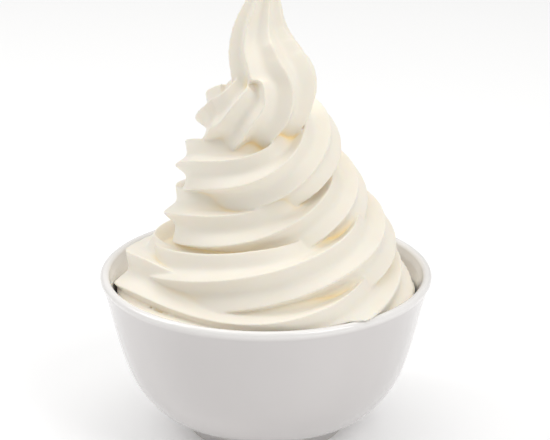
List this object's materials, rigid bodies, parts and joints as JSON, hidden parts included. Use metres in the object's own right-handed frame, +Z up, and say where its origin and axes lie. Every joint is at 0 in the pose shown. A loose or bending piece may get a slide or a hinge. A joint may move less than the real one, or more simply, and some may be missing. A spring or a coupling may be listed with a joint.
{
  "type": "frozen yogurt cup",
  "caption": "White glazed bowl on a foot ring, filled with a ribbed vanilla frozen yogurt swirl that coils up to a pulled, curled peak",
  "frame": {"origin": "on the table, at the centre of the bowl's foot ring", "axes": "+Z up, the pulled peak is at the top; -Y is the front that the camera faces; +X to its right"},
  "size_m": [0.12, 0.12, 0.1752],
  "materials": {
    "bowl_glaze": "glossy white glaze over smooth ceramic",
    "vanilla_cream": "soft satin vanilla frozen yogurt, food, not plastic"
  },
  "bodies": {
    "root": {"bowl": "bowl_glaze", "frozen_yogurt": "vanilla_cream"}
  },
  "joints": []
}
